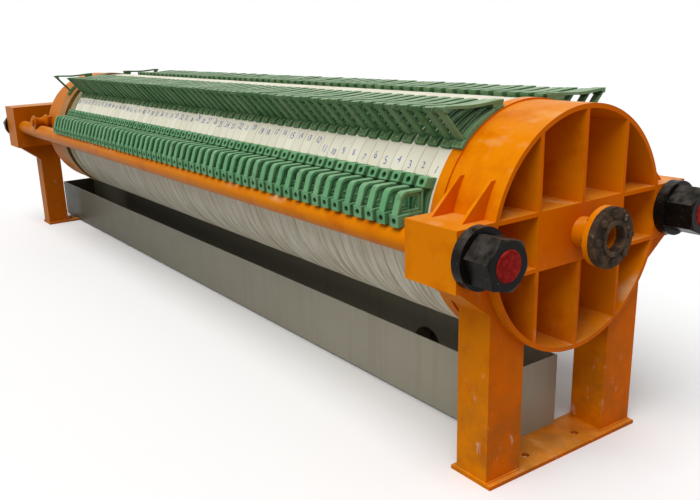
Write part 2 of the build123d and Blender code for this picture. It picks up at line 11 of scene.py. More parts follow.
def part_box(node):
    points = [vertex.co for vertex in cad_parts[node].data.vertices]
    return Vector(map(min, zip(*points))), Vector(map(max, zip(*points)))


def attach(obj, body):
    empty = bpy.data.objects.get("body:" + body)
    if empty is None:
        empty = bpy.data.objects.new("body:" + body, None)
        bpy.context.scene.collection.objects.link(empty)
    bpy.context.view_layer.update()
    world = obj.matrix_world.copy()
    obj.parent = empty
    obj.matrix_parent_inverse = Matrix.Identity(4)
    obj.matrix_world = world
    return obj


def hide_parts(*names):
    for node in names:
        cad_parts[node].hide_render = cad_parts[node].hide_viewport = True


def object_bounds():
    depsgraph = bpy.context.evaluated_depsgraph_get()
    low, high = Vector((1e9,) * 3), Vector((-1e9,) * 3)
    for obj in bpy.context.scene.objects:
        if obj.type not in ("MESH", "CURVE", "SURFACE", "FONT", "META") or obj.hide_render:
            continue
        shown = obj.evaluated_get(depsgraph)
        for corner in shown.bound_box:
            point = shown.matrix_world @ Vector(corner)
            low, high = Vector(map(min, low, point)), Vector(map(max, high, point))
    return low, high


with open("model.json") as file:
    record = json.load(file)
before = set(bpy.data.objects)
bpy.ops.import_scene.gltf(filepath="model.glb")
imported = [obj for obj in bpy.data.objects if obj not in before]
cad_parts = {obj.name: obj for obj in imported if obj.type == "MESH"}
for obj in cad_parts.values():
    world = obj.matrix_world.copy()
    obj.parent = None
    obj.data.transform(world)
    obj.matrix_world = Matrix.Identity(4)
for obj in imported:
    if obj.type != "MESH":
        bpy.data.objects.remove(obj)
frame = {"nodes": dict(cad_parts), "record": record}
cad_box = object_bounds()
random.seed(7)

MM = 0.001
SIDES = (("near", -1), ("far", 1))


def middle(node):
    """Centre of a node's box."""
    low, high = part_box(node)
    return (low + high) / 2


def half_size(node):
    """Half the size of a node's box, along each axis."""
    low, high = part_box(node)
    return (high - low) / 2


# Places read from the frame

AXIS_Z = middle("head_disc").z
HEAD_FRONT_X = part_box("head_rim")[1].x
TAIL_X = cad_box[0][0]
PACK_LOW, PACK_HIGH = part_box("filter_plates")
PLATE_RADIUS = half_size("filter_plates").y
DISC_RADIUS = half_size("head_disc").y
ROD_OFFSET = abs(middle("tie_rod_near").y)
ROD_RISE = middle("tie_rod_near").z - AXIS_Z
ROD_RADIUS = half_size("tie_rod_near").y

# Plate pack

PLATE_PITCH = 65 * MM
PLATE_GAP = 0.8 * MM
PLATE_THICKNESS = PLATE_PITCH - PLATE_GAP
PLATE_EYE_RADIUS = 40 * MM
PLATE_COUNT = round((PACK_HIGH.x - PACK_LOW.x) / PLATE_PITCH)
PLATE_CENTRES = [PACK_HIGH.x - PLATE_THICKNESS / 2 - i * PLATE_PITCH for i in range(PLATE_COUNT)]
FIT = 0.3 * MM


# Materials

CLEAN_LENGTH = 0.6
ROD_END_LENGTH = 9 * MM
BARE_BAND = 90 * MM
BROWN_BAND_END = 160 * MM
BAND_BLUR = 15 * MM


class Shader:
    """A principled material with small helpers for its node tree."""

    def __init__(self, name, roughness=0.5, metallic=0.0, specular=0.2):
        self.material = bpy.data.materials.new(name)
        self.material.use_nodes = True
        self.tree = self.material.node_tree
        self.bsdf = self.tree.nodes["Principled BSDF"]
        self.bsdf.inputs["Roughness"].default_value = roughness
        self.bsdf.inputs["Metallic"].default_value = metallic
        self.bsdf.inputs["Specular IOR Level"].default_value = specular
        self.place = self.node("ShaderNodeTexCoord").outputs["Object"]

    def node(self, kind, **settings):
        made = self.tree.nodes.new(kind)
        for key, value in settings.items():
            setattr(made, key, value)
        return made

    def link(self, source, target):
        """Feed a socket from another socket, a number or a colour."""
        if isinstance(source, (int, float)):
            target.default_value = source
        elif isinstance(source, tuple):
            target.default_value = (*source, 1.0)
        else:
            self.tree.links.new(source, target)

    def stretched(self, scale):
        mapping = self.node("ShaderNodeMapping")
        mapping.inputs["Scale"].default_value = scale
        self.link(self.place, mapping.inputs["Vector"])
        return mapping.outputs["Vector"]

    def noise(self, scale, detail=4.0, roughness=0.55, stretch=None):
        made = self.node("ShaderNodeTexNoise")
        made.inputs["Scale"].default_value = scale
        made.inputs["Detail"].default_value = detail
        made.inputs["Roughness"].default_value = roughness
        self.link(self.stretched(stretch) if stretch else self.place, made.inputs["Vector"])
        return made.outputs["Fac"]

    def ramp(self, value, low, high):
        """0 at low, 1 at high, straight between and held outside; low may be above high."""
        made = self.node("ShaderNodeMapRange")
        made.inputs["From Min"].default_value = low
        made.inputs["From Max"].default_value = high
        self.link(value, made.inputs["Value"])
        return made.outputs["Result"]

    def maths(self, operation, a, b=0.0):
        made = self.node("ShaderNodeMath", operation=operation)
        self.link(a, made.inputs[0])
        self.link(b, made.inputs[1])
        return made.outputs["Value"]

    def times(self, *values):
        product = values[0]
        for value in values[1:]:
            product = self.maths("MULTIPLY", product, value)
        return product

    def mix(self, amount, a, b):
        made = self.node("ShaderNodeMix", data_type="RGBA")
        self.link(amount, made.inputs["Factor"])
        self.link(a, made.inputs["A"])
        self.link(b, made.inputs["B"])
        return made.outputs["Result"]

    def tint(self, color, tone, *masks):
        """Lay a display colour over a colour, where the product of the masks says."""
        return self.mix(self.times(*masks), color, linear(*tone))

    def mottle(self, mask, first, second):
        """Display colours that change over from first to second as the mask says."""
        return self.mix(mask, linear(*first), linear(*second))

    def axis(self, letter):
        parts = self.node("ShaderNodeSeparateXYZ")
        self.link(self.place, parts.inputs["Vector"])
        return parts.outputs[letter]

    def facing(self, letter):
        parts = self.node("ShaderNodeSeparateXYZ")
        self.link(self.node("ShaderNodeNewGeometry").outputs["Normal"], parts.inputs["Vector"])
        return parts.outputs[letter]

    def towards_tail(self):
        """0 at the feed head, 1 at the tail end."""
        return self.ramp(self.axis("X"), HEAD_FRONT_X - CLEAN_LENGTH, TAIL_X)

    def plate_steps(self):
        """Plates from the pack's tail end to a point, with the share of its own plate."""
        return self.maths("DIVIDE", self.maths("SUBTRACT", self.axis("X"), PACK_LOW.x), PLATE_PITCH)

    def per_plate(self):
        """A random value from 0 to 1 that changes from plate to plate."""
        made = self.node("ShaderNodeTexWhiteNoise", noise_dimensions="1D")
        self.link(self.maths("FLOOR", self.plate_steps()), made.inputs["W"])
        return made.outputs["Value"]

    def crevice(self, distance):
        """1 in corners that are closed in within a distance, 0 in the open: the mask for shade painted into
        corners.
        """
        made = self.node("ShaderNodeAmbientOcclusion", samples=6)
        made.inputs["Distance"].default_value = distance
        return self.ramp(made.outputs["AO"], 0.85, 0.25)

    def bump(self, height, strength, distance=MM):
        made = self.node("ShaderNodeBump")
        made.inputs["Strength"].default_value = strength
        made.inputs["Distance"].default_value = distance
        self.link(height, made.inputs["Height"])
        self.link(made.outputs["Normal"], self.bsdf.inputs["Normal"])

    def uneven(self, scale, share, least):
        """Roughness that wanders from least up to least plus share."""
        return self.maths("ADD", self.times(self.noise(scale), share), least)

    def finish(self, color, roughness=None):
        self.link(color, self.bsdf.inputs["Base Color"])
        if roughness is not None:
            self.link(roughness, self.bsdf.inputs["Roughness"])
        return self.material


def linear(red, green, blue):
    """Scene colour of an 8-bit display colour."""
    values = [channel / 255 for channel in (red, green, blue)]
    return tuple(v / 12.92 if v <= 0.04045 else ((v + 0.055) / 1.055) ** 2.4 for v in values)


def enamel(shader):
    """Orange enamel: redder front faces and dark corners as painted shade, dull patches, dirt low down,
    darker at the tail, white spatter, pale smears and dust on top with painted highlight.
    """
    color = shader.mottle(shader.noise(2.2), (224, 122, 0), (234, 140, 5))
    # Painted shade: faces turned to the front darker and redder.
    color = shader.tint(color, (222, 95, 0), shader.ramp(shader.facing("X"), 0.5, 0.95), 0.75)
    color = shader.tint(color, (206, 98, 0), shader.ramp(shader.noise(9.0), 0.5, 0.8))
    # Painted shade: darker red-brown in corners and in the head's cells.
    color = shader.tint(color, (172, 62, 2), shader.crevice(0.12), 0.3)
    color = shader.tint(color, (142, 76, 6), shader.towards_tail(), 0.6)
    low = shader.ramp(shader.axis("Z"), 0.75, 0.05)
    grime = shader.ramp(shader.noise(7.0, 6.0, 0.65), 0.38, 0.66)
    color = shader.tint(color, (146, 88, 34), low, grime, 0.65)
    splashed = shader.ramp(shader.axis("Z"), 0.95, 0.1)
    spatter = shader.ramp(shader.noise(26.0, 5.0, 0.7, stretch=(1.0, 1.0, 0.45)), 0.62, 0.72)
    color = shader.tint(color, (216, 204, 180), splashed, spatter, 0.5)
    # Pale smears on upward faces near the head: partly real smears, partly painted sheen.
    smear_and_sheen = shader.ramp(shader.noise(6.0, 3.0, 0.5, stretch=(1.0, 1.6, 0.5)), 0.55, 0.75)
    upward = shader.ramp(shader.facing("Z"), 0.1, 0.5)
    at_head = shader.maths("SUBTRACT", 1.0, shader.towards_tail())
    color = shader.tint(color, (244, 200, 148), smear_and_sheen, upward, at_head, 0.55)
    # Level tops paler in patches: dust and painted highlight.
    level = shader.ramp(shader.facing("Z"), 0.8, 1.0)
    return shader.tint(color, (238, 174, 92), level, shader.ramp(shader.noise(5.0), 0.3, 0.7), 0.4)


def orange_paint():
    """Brushed enamel of head, follower and tail."""
    paint = Shader("orange_paint", specular=0.02)
    paint.bump(paint.noise(55.0, 2.0), 0.12)
    return paint.finish(enamel(paint), paint.uneven(14.0, 0.3, 0.2))


def rod_paint():
    """Orange rods with dark red ends beyond the nuts."""
    paint = Shader("rod_paint", roughness=0.32, specular=0.02)
    from_middle = paint.maths("SUBTRACT", paint.axis("X"), middle("tie_rod_near").x)
    red_from = half_size("tie_rod_near").x - ROD_END_LENGTH
    at_end = paint.ramp(paint.maths("ABSOLUTE", from_middle), red_from, red_from + MM)
    red = paint.mottle(paint.ramp(paint.noise(60.0), 0.35, 0.65), (122, 16, 16), (166, 40, 34))
    paint.bump(paint.noise(90.0), 0.35)
    return paint.finish(paint.mix(at_end, enamel(paint), red))


def green_paint(name, dark, light, pale_tone):
    """Painted castings, each plate's a little different, paler on top with dust and painted highlight,
    painted shade in corners.
    """
    green = Shader(name)
    color = green.mottle(green.noise(9.0), dark, light)
    color = green.tint(color, pale_tone, green.per_plate(), 0.25)
    color = green.tint(color, (70, 80, 40), green.ramp(green.noise(38.0), 0.56, 0.72), 0.6)
    color = green.tint(color, (36, 88, 52), green.towards_tail(), 0.4)
    # Painted shade: dark in corners and between parts.
    color = green.tint(color, (28, 48, 26), green.crevice(0.04), 0.6)
    # Level tops paler in patches: dust and painted highlight.
    level = green.ramp(green.facing("Z"), 0.7, 1.0)
    color = green.tint(color, pale_tone, level, green.ramp(green.noise(12.0), 0.2, 0.7), 0.7)
    green.bump(green.noise(140.0, 3.0), 0.3)
    return green.finish(color)


def cream_plastic():
    """Moulded plates: brown seams where they meet, dirt streaks and painted shade on the lower half, deeper
    towards the tail, smudges.
    """
    plastic = Shader("cream_plastic", specular=0.06)
    color = plastic.mottle(plastic.per_plate(), (222, 217, 198), (238, 235, 220))
    color = plastic.tint(color, (232, 224, 196), plastic.noise(11.0, stretch=(2.5, 1.0, 1.0)), 0.5)
    below = plastic.ramp(plastic.axis("Z"), AXIS_Z + 0.1, AXIS_Z - 0.25)
    streak = plastic.ramp(plastic.noise(5.0, 5.0, 0.6, stretch=(7.0, 1.0, 1.0)), 0.42, 0.68)
    # Lower half: brown dirt streaks, deepened as painted shade.
    color = plastic.tint(color, (160, 144, 108), below, streak, 0.75)
    # Painted shade on the lower half, deepest towards the tail.
    color = plastic.tint(color, (94, 88, 66), below, plastic.towards_tail())
    plate_middle = PLATE_THICKNESS / PLATE_PITCH / 2
    from_middle = plastic.maths("SUBTRACT", plastic.maths("FRACT", plastic.plate_steps()), plate_middle)
    joint = plastic.ramp(plastic.maths("ABSOLUTE", from_middle), 0.46, 0.485)
    off_face = plastic.ramp(plastic.maths("ABSOLUTE", plastic.facing("X")), 0.98, 0.9)
    depth = plastic.maths("ADD", plastic.times(below, 0.25), 0.35)
    color = plastic.tint(color, (112, 86, 50), joint, off_face, depth)
    smudge = plastic.ramp(plastic.noise(34.0, 4.0, 0.7), 0.64, 0.72)
    color = plastic.tint(color, (150, 140, 120), smudge, 0.35)
    plastic.bump(plastic.noise(24.0, stretch=(4.0, 1.0, 1.0)), 0.15)
    return plastic.finish(color)


def black_steel():
    """Black enamel, worn grey in patches, with a painted highlight on its upper faces and a few bare chips.
    """
    black = Shader("black_steel", specular=0.08)
    color = black.mottle(black.noise(18.0), (8, 7, 6), (26, 23, 20))
    color = black.tint(color, (62, 56, 48), black.ramp(black.noise(45.0), 0.6, 0.75), 0.5)
    # Painted highlight: upper faces lighter in patches.
    upward = black.ramp(black.facing("Z"), 0.3, 0.9)
    color = black.tint(color, (112, 104, 94), upward, black.ramp(black.noise(26.0), 0.35, 0.65), 0.45)
    chips = black.ramp(black.noise(75.0, 5.0, 0.7), 0.66, 0.69)
    color = black.tint(color, (160, 150, 136), chips, 0.6)
    black.bump(black.noise(60.0), 0.25)
    return black.finish(color, black.uneven(30.0, 0.3, 0.16))


def rusty_steel():
    """Dark rust with paler scale."""
    rust = Shader("rusty_steel", roughness=0.8)
    color = rust.mottle(rust.ramp(rust.noise(22.0, 6.0, 0.65), 0.35, 0.7), (36, 30, 25), (94, 70, 48))
    color = rust.tint(color, (138, 116, 92), rust.ramp(rust.noise(50.0), 0.6, 0.7), 0.6)
    rust.bump(rust.noise(70.0, 6.0), 0.7, 2 * MM)
    return rust.finish(color)


def sheet_steel():
    """Trough sheet: dull, a little wavy, with faint runs, darker at the tail."""
    sheet = Shader("sheet_steel", metallic=0.2, specular=0.1)
    cloud = sheet.noise(1.1, stretch=(1.0, 1.0, 2.0))
    color = sheet.mottle(cloud, (150, 145, 128), (172, 166, 148))
    color = sheet.tint(color, (58, 60, 46), sheet.towards_tail(), 0.95)
    run = sheet.ramp(sheet.noise(9.0, 5.0, 0.6, stretch=(3.0, 1.0, 0.15)), 0.5, 0.75)
    color = sheet.tint(color, (112, 104, 86), run, 0.2)
    sheet.bump(sheet.noise(1.6, 1.0, stretch=(1.0, 1.0, 0.6)), 0.5, 20 * MM)
    return sheet.finish(color, sheet.uneven(7.0, 0.3, 0.26))


def bright_steel():
    """Turned and polished ram."""
    steel = Shader("bright_steel", roughness=0.22, metallic=1.0)
    steel.bump(steel.noise(220.0, 2.0), 0.05)
    turned = steel.noise(30.0, stretch=(0.05, 1.0, 1.0))
    return steel.finish(steel.mottle(turned, (184, 184, 186), (225, 225, 226)))


def dull_bolt():
    """Small worn bolt heads, dusty with green overspray."""
    head = Shader("dull_bolt", roughness=0.6)
    worn = head.ramp(head.noise(40.0), 0.4, 0.65)
    return head.finish(head.mottle(worn, (96, 112, 74), (160, 144, 112)))


def stained_iron():
    """The follower's face disc: bare stained band by the plates, a brown band, dirty orange at the drum."""
    iron = Shader("stained_iron", roughness=0.55)
    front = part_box("follower_pressure_disc")[1].x
    wander = iron.times(iron.maths("SUBTRACT", iron.noise(9.0), 0.5), 0.05)
    along = iron.maths("ADD", iron.maths("SUBTRACT", front, iron.axis("X")), wander)
    bare = iron.mottle(iron.noise(14.0, 6.0, 0.65), (108, 98, 66), (150, 138, 100))
    brown = iron.mottle(iron.noise(16.0), (78, 60, 30), (120, 94, 50))
    painted = iron.mottle(iron.noise(12.0), (138, 96, 42), (172, 116, 50))
    color = iron.mix(iron.ramp(along, BARE_BAND, BARE_BAND + BAND_BLUR), bare, brown)
    color = iron.mix(iron.ramp(along, BROWN_BAND_END, BROWN_BAND_END + BAND_BLUR), color, painted)
    iron.bump(iron.noise(60.0), 0.3)
    return iron.finish(color)


def marker_blue():
    """Worn marker strokes."""
    ink = Shader("marker_blue", roughness=0.6)
    worn = ink.ramp(ink.noise(60.0, 4.0, 0.7), 0.5, 0.7)
    return ink.finish(ink.mottle(worn, (76, 92, 164), (190, 192, 204)))


FINISHES = {
    "orange_paint": orange_paint(),
    "green_casting": green_paint("green_casting", (68, 128, 82), (104, 166, 114), (160, 192, 152)),
    "filter_plate": cream_plastic(),
    "black_steel": black_steel(),
    "rusty_steel": rusty_steel(),
    "sheet_steel": sheet_steel(),
    "bright_steel": bright_steel(),
    "stained_iron": stained_iron(),
}
LOOP_GREEN = green_paint("loop_green", (60, 102, 60), (90, 136, 84), (172, 194, 158))
ROD_PAINT = rod_paint()
DULL_BOLT = dull_bolt()
MARKER = marker_blue()


def node_finish(name, slot):
    """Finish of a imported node: its slot's own, apart from the rods and the painted axles."""
    if name.startswith("tie_rod"):
        return ROD_PAINT
    if name.startswith("follower_axle"):
        return FINISHES["orange_paint"]
    return FINISHES[slot]


slots = {part["node"]: part["material_slot"] for part in frame["record"]["subparts"]}
for name, obj in frame["nodes"].items():
    obj.data.materials.clear()
    obj.data.materials.append(node_finish(name, slots[name]))


# Mesh helpers: outlines are (offset from the centre plane, height over the machine axis), closed

SHARP_ANGLE = 32
WOBBLE_TURN = 0.5
WOBBLE_SHIFT = 0.08


def circle(steps):
    """Unit circle in even steps, as (cosine, sine) pairs."""
    angles = [2 * math.pi * i / steps for i in range(steps)]
    return [(math.cos(angle), math.sin(angle)) for angle in angles]


def rounded(corners, steps=4):
    """Closed outline through (offset, height, radius) corners, with an arc where a radius is given."""
    outline = []
    for i, (offset, height, radius) in enumerate(corners):
        here = Vector((offset, height))
        if not radius:
            outline.append((offset, height))
            continue
        back = (Vector(corners[i - 1][:2]) - here).normalized()
        onward = (Vector(corners[(i + 1) % len(corners)][:2]) - here).normalized()
        half_angle = back.angle(onward) / 2
        centre = here + (back + onward).normalized() * (radius / math.sin(half_angle))
        entry = here + back * (radius / math.tan(half_angle)) - centre
        leaving = here + onward * (radius / math.tan(half_angle)) - centre
        turn = math.atan2(entry.x * leaving.y - entry.y * leaving.x, entry.dot(leaving))
        for step in range(steps + 1):
            swung = Matrix.Rotation(turn * step / steps, 2) @ entry
            outline.append(tuple(centre + swung))
    return outline


def rim_point(radius, angle):
    """Point round the machine axis, at an angle in degrees up from level."""
    return (radius * math.cos(math.radians(angle)), radius * math.sin(math.radians(angle)))


def rim_arc(radius, low, high, steps=10):
    """Points round the machine axis from one angle to another."""
    return [rim_point(radius, low + (high - low) * i / steps) for i in range(steps + 1)]


def at_height(radius, height):
    """Point round the machine axis, at a height over it."""
    return (math.sqrt(radius * radius - height * height), height)


def closed_pairs(ring):
    """Each vertex of a ring with the next one."""
    return zip(ring, ring[1:] + ring[:1])


def skin(bm, rings):
    """Faces between each ring of vertices and the next one."""
    for low, high in zip(rings, rings[1:]):
        for i in range(len(low)):
            bm.faces.new((low[i - 1], low[i], high[i], high[i - 1]))


def ease(bm, edges, width):
    """Bevel edges by a flat of this width."""
    bmesh.ops.bevel(bm, geom=edges, offset=width, segments=1, affect="EDGES", clamp_overlap=True)


def prism(bm, loops, half_width, bevel=1.5 * MM, x=0.0):
    """Solid between two equal sections; the first loop is its outline, the others are holes in it."""
    sections = []
    border = []
    for place in (x - half_width, x + half_width):
        rings = []
        edges = []
        for loop in loops:
            ring = [bm.verts.new((place, offset, AXIS_Z + height)) for offset, height in loop]
            edges += [bm.edges.new(pair) for pair in closed_pairs(ring)]
            rings.append(ring)
        if len(loops) == 1:
            bm.faces.new(rings[0])
        else:
            bmesh.ops.triangle_fill(bm, edges=edges, use_beauty=True)
        sections.append(rings)
        border += edges
    for pair in zip(*sections):
        skin(bm, pair)
    ease(bm, border, bevel)


def drilled_block(bm, loop, half_width, hole_radius, depth, bevel=2.0 * MM, steps=16):
    """Prism whose face between the first two outline points has a blind hole in its middle."""
    low, high = [[bm.verts.new((x, u, AXIS_Z + w)) for u, w in loop] for x in (-half_width, half_width)]
    for ring in (low, high):
        bm.faces.new(ring)
    for i in range(2, len(loop) + 1):
        j = i % len(loop)
        bm.faces.new((low[i - 1], low[j], high[j], high[i - 1]))
    rectangle = (low[0], low[1], high[1], high[0])
    face_edges = [bm.edges.get(pair) or bm.edges.new(pair) for pair in closed_pairs(rectangle)]
    centre = sum((vert.co for vert in rectangle), Vector()) / len(rectangle)
    inside = sum((vert.co for vert in low + high), Vector()) / len(low + high)
    up = (low[1].co - low[0].co).normalized()
    along = Vector((1, 0, 0))
    inward = along.cross(up)
    if inward.dot(inside - centre) < 0:
        inward = -inward
    rims = []
    for sunk in (0.0, depth):
        swings = [along * cosine + up * sine for cosine, sine in circle(steps)]
        rims.append([bm.verts.new(centre + swing * hole_radius + inward * sunk) for swing in swings])
    hole_edges = [bm.edges.new(pair) for pair in closed_pairs(rims[0])]
    bmesh.ops.triangle_fill(bm, edges=face_edges + hole_edges, use_beauty=True)
    skin(bm, rims)
    bm.faces.new(rims[1])
    border = [bm.edges.get(pair) for ring in (low, high) for pair in closed_pairs(ring)]
    border += [bm.edges.get((low[i], high[i])) for i in range(2)]
    ease(bm, border, bevel)


def bolt(bm, place, direction, radius, height, sides=6):
    """Bolt head with a chamfered top, seated at a place and pointing in a direction."""
    turn = direction.to_track_quat("Z", "X").to_matrix()
    rings = []
    for level, share in ((0.0, 1.0), (0.75, 1.0), (1.0, 0.78)):
        local = [(radius * share * cosine, radius * share * sine) for cosine, sine in circle(sides)]
        rings.append([bm.verts.new(place + turn @ Vector((u, v, level * height))) for u, v in local])
    skin(bm, rings)
    bm.faces.new(rings[0])
    bm.faces.new(rings[-1])


def mirrored(bm, sign):
    """The same mesh on the side of the centre plane that sign names."""
    made = bm.copy()
    bmesh.ops.scale(made, vec=(1, sign, 1), verts=made.verts)
    return made


def repeated(bm, stations, wobble=0.0):
    """Copies of a mesh at stations along the machine, each a little turned and shifted."""
    template = bpy.data.meshes.new("template")
    bm.to_mesh(template)
    row = bmesh.new()
    for station in stations:
        first = len(row.verts)
        row.from_mesh(template)
        row.verts.ensure_lookup_table()
        turn = Matrix.Rotation(random.uniform(-wobble, wobble) * WOBBLE_TURN, 4, "X")
        lean = Matrix.Rotation(random.uniform(-wobble, wobble), 4, "Z")
        shift = random.uniform(-wobble, wobble) * WOBBLE_SHIFT
        about_axis = Matrix.Translation((0, 0, AXIS_Z)) @ turn @ lean @ Matrix.Translation((0, 0, -AXIS_Z))
        placed = Matrix.Translation((station + shift, 0, 0)) @ about_axis
        bmesh.ops.transform(row, matrix=placed, verts=row.verts[first:])
    bpy.data.meshes.remove(template)
    return row


def joined(parts):
    """One mesh of several."""
    whole = bmesh.new()
    for part in parts:
        mesh = bpy.data.meshes.new("part")
        part.to_mesh(mesh)
        whole.from_mesh(mesh)
        bpy.data.meshes.remove(mesh)
    return whole


def piece(name, bm, material, body="frame", stands_for=None, sharp_angle=SHARP_ANGLE):
    """Finish a mesh as a piece of the object."""
    bmesh.ops.recalc_face_normals(bm, faces=bm.faces)
    mesh = bpy.data.meshes.new(name)
    bm.to_mesh(mesh)
    bm.free()
    mesh.polygons.foreach_set("use_smooth", [True] * len(mesh.polygons))
    mesh.set_sharp_from_angle(angle=math.radians(sharp_angle))
    mesh.materials.append(material)
    obj = bpy.data.objects.new(name, mesh)
    bpy.context.scene.collection.objects.link(obj)
    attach(obj, body)
    if stands_for:
        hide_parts(stands_for)


# Upper handles: strap on the rim, foot pad, leaning leg and grip. Angles in degrees up from level.

LAP = 1 * MM  # overlap of a casting's parts, so that no two of their faces lie in one plane
FINE_BEVEL = 1 * MM
CASTING_BEVEL = 2 * MM
UPPER_BAR = 10 * MM
PAD_HALF = 24 * MM
STRAP_HALF = 22 * MM
GRIP_HALF = 20 * MM
WEDGE_HALF = 19 * MM
LEG_HALF = 16 * MM
RIB_PLACE = 16 * MM
RIB_HALF = 3 * MM
RIB_HEIGHT = 4 * MM
FOOT_ANGLE = 41.7
ROOT_ANGLE = 45.3
PAD_END_ANGLE = 46.1
WINDOW_ANGLE = 46.8
RIB_END_ANGLE = 68.3
TIP_ANGLE = 72.3
PAD_THICKNESS = 13 * MM
GRIP_RISE = 6 * MM
GRIP_BOW = 7 * MM
BOW_SHARES = (0.3, 0.45, 0.6, 0.75, 0.9)
GRIP_CORNER = 11 * MM
GRIP_INNER_CORNER = 5 * MM
SHOULDER = 16 * MM
LEG_LEAN = 98 * MM
LEG_COVER = 3 * MM
LEG_SUNK = 2 * MM
TIP_LENGTH = 40 * MM
WEDGE_TOP_LENGTH = 52 * MM
BOLT_ANGLE = 43.3
BOLT_SPREAD = 11 * MM
BOLT_RADIUS = 5 * MM
BOLT_HEIGHT = 3.5 * MM


def rim_band(bottom, top, low, high, steps=10):
    """Outline of a band between two radii and two angles."""
    return rim_arc(bottom, low, high, steps) + rim_arc(top, high, low, steps)


def upper_handle(seat):
    """Casting at station 0 on a rim of radius seat, on the far side."""
    bm = bmesh.new()
    strap_top = seat + UPPER_BAR
    prism(bm, [rim_band(seat, strap_top, ROOT_ANGLE, TIP_ANGLE)], STRAP_HALF)
    rib = rim_band(strap_top - LAP, strap_top + RIB_HEIGHT, WINDOW_ANGLE, RIB_END_ANGLE)
    for x in (-RIB_PLACE, RIB_PLACE):
        prism(bm, [rib], RIB_HALF, FINE_BEVEL, x)
    pad = rim_band(seat, seat + PAD_THICKNESS, FOOT_ANGLE, PAD_END_ANGLE, 3)
    prism(bm, [pad], PAD_HALF, CASTING_BEVEL)

    grip_top = seat + GRIP_RISE
    grip_low = grip_top - UPPER_BAR
    root = rim_point(strap_top, ROOT_ANGLE)
    window_root = rim_point(strap_top, WINDOW_ANGLE)
    tip, tip_height = rim_point(seat, TIP_ANGLE)
    corner = (rim_point(seat, FOOT_ANGLE)[0] + LEG_LEAN, grip_top)
    lean = (corner[0] - root[0]) / (corner[1] - root[1])
    inner_corner = (window_root[0] + lean * (grip_low - window_root[1]), grip_low)

    def leg_edge(foot, shift):
        """Bottom and top of one long edge of the leg."""
        top = grip_top - LEG_COVER
        offset = foot[0] + shift
        return [(offset, foot[1] - LEG_SUNK), (offset + lean * (top - foot[1]), top)]

    prism(bm, [leg_edge(root, -LAP) + leg_edge(window_root, LAP)[::-1]], LEG_HALF, CASTING_BEVEL)

    bowed = []
    for share in BOW_SHARES:
        sag = GRIP_BOW * math.sin(math.pi * share) ** 2
        bowed.append((corner[0] + (tip - corner[0]) * share, grip_top - sag))
    grip = [(*corner, GRIP_CORNER)]
    grip += [(*point, 0) for point in bowed]
    grip += [(tip, grip_top, 0), (tip, grip_low, 0)]
    grip += [(offset, height - UPPER_BAR, 0) for offset, height in reversed(bowed)]
    grip += [(*inner_corner, GRIP_INNER_CORNER)]
    for offset, height in (inner_corner, corner):
        grip.append((offset - lean * SHOULDER, height - SHOULDER, 0))
    prism(bm, [rounded(grip)], GRIP_HALF, CASTING_BEVEL)

    wedge_end = tip + TIP_LENGTH
    wedge = [
        (tip + LAP, grip_top - LAP),
        (tip + LAP, tip_height + LAP),
        (wedge_end, math.sqrt((strap_top - LAP) ** 2 - wedge_end**2)),
        (tip + WEDGE_TOP_LENGTH, grip_low - LAP),
    ]
    prism(bm, [wedge], WEDGE_HALF)
    return bm


def foot_bolts(seat):
    """Two bolt heads on the foot pad of an upper handle."""
    bm = bmesh.new()
    offset, height = rim_point(seat + PAD_THICKNESS, BOLT_ANGLE)
    outward = Vector((0, offset, height)).normalized()
    for x in (-BOLT_SPREAD, BOLT_SPREAD):
        bolt(bm, Vector((x, offset, AXIS_Z + height)), outward, BOLT_RADIUS, BOLT_HEIGHT)
    return bm


# Side handles: flanged casting with a pad on the rim, a loop and a shoe on the rod

SIDE_BAR = 10 * MM
WEB_HALF = 7 * MM
SILL_HALF = 11 * MM
STRIP_HALF = 13 * MM
FLANGE_HALF = 14 * MM
BACK_HALF = 17 * MM
BLOCK_HALF = 20 * MM
BACK_THICKNESS = 9 * MM
STRIP_THICKNESS = 9 * MM
STRAP_LOW = 58 * MM
STRAP_HIGH = 191 * MM
STRAP_REACH = 15 * MM
STRAP_STEPS = 6
STRAP_LAP = 4 * MM
PAD_LEVEL = 198 * MM
PAD_INSET = 20 * MM
PAD_FOOT_INSET = 2 * MM
PAD_FOOT_RISE = 3 * MM
PAD_ROOT_DROP = 8 * MM
BAR_LEVEL = 163 * MM
BEND_OVERHANG = 27 * MM
BEND_RADIUS = 22 * MM
SHOE_OVERHANG = 54 * MM
SHOE_WIDTH = 50 * MM
SHOE_HEIGHT = 41 * MM
SHOE_HOOK = 8 * MM
SHOE_LAP = 4 * MM
SADDLE_PLACES = (0.0, 12 * MM, 20 * MM)
HOOK_PLACE = 26 * MM
SILL_DEPTH = 12 * MM
SILL_LAP = 6 * MM
WEB_COVER = 2 * MM
WEB_RING = 21 * MM
WINDOW_RISE = 7 * MM
WINDOW_INSET = 10 * MM
SLOT_HIGH = 154 * MM
SLOT_LOW = 96 * MM
HOLE_RADIUS = 10.5 * MM
HOLE_DEPTH = 16 * MM


def at_rod(offset):
    """Point of the rod's crown at an offset, a little clear of it."""
    reach = ROD_RADIUS + FIT
    return (offset, ROD_RISE + math.sqrt(reach * reach - (offset - ROD_OFFSET) ** 2))


